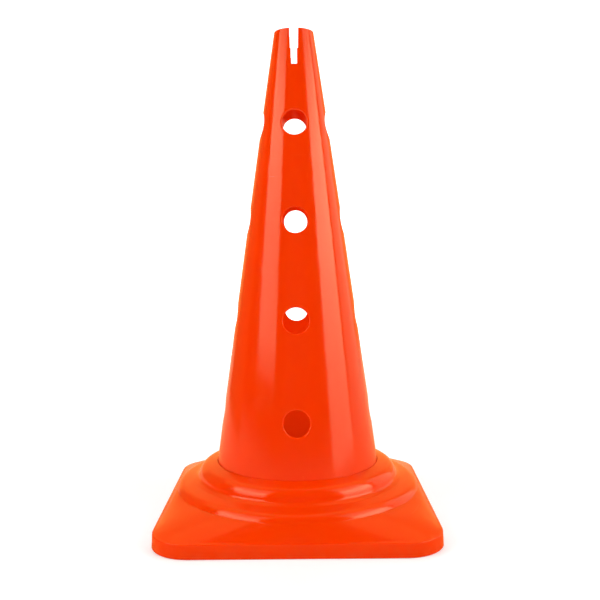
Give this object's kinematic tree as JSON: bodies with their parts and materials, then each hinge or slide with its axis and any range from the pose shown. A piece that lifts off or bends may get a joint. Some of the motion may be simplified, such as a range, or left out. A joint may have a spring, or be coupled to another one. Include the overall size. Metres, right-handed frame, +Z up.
{
  "type": "hurdle cone",
  "caption": "Tall hollow marker cone with crossing pole holes at even heights and a slotted open top, standing in a stepped square base.",
  "frame": {"origin": "on the ground under the middle of the base", "axes": "+Z up along the cone's axis; the slot in the top and one row of pole holes run along Y, the other row of pole holes along X; the pictured side faces -Y"},
  "size_m": [0.273, 0.273, 0.5],
  "materials": {
    "cone_plastic": "smooth moulded orange plastic, slightly glossy",
    "base_plastic": "smooth moulded orange plastic, slightly glossy"
  },
  "bodies": {
    "root": {"cone_body": "cone_plastic", "base": "base_plastic"}
  },
  "joints": []
}
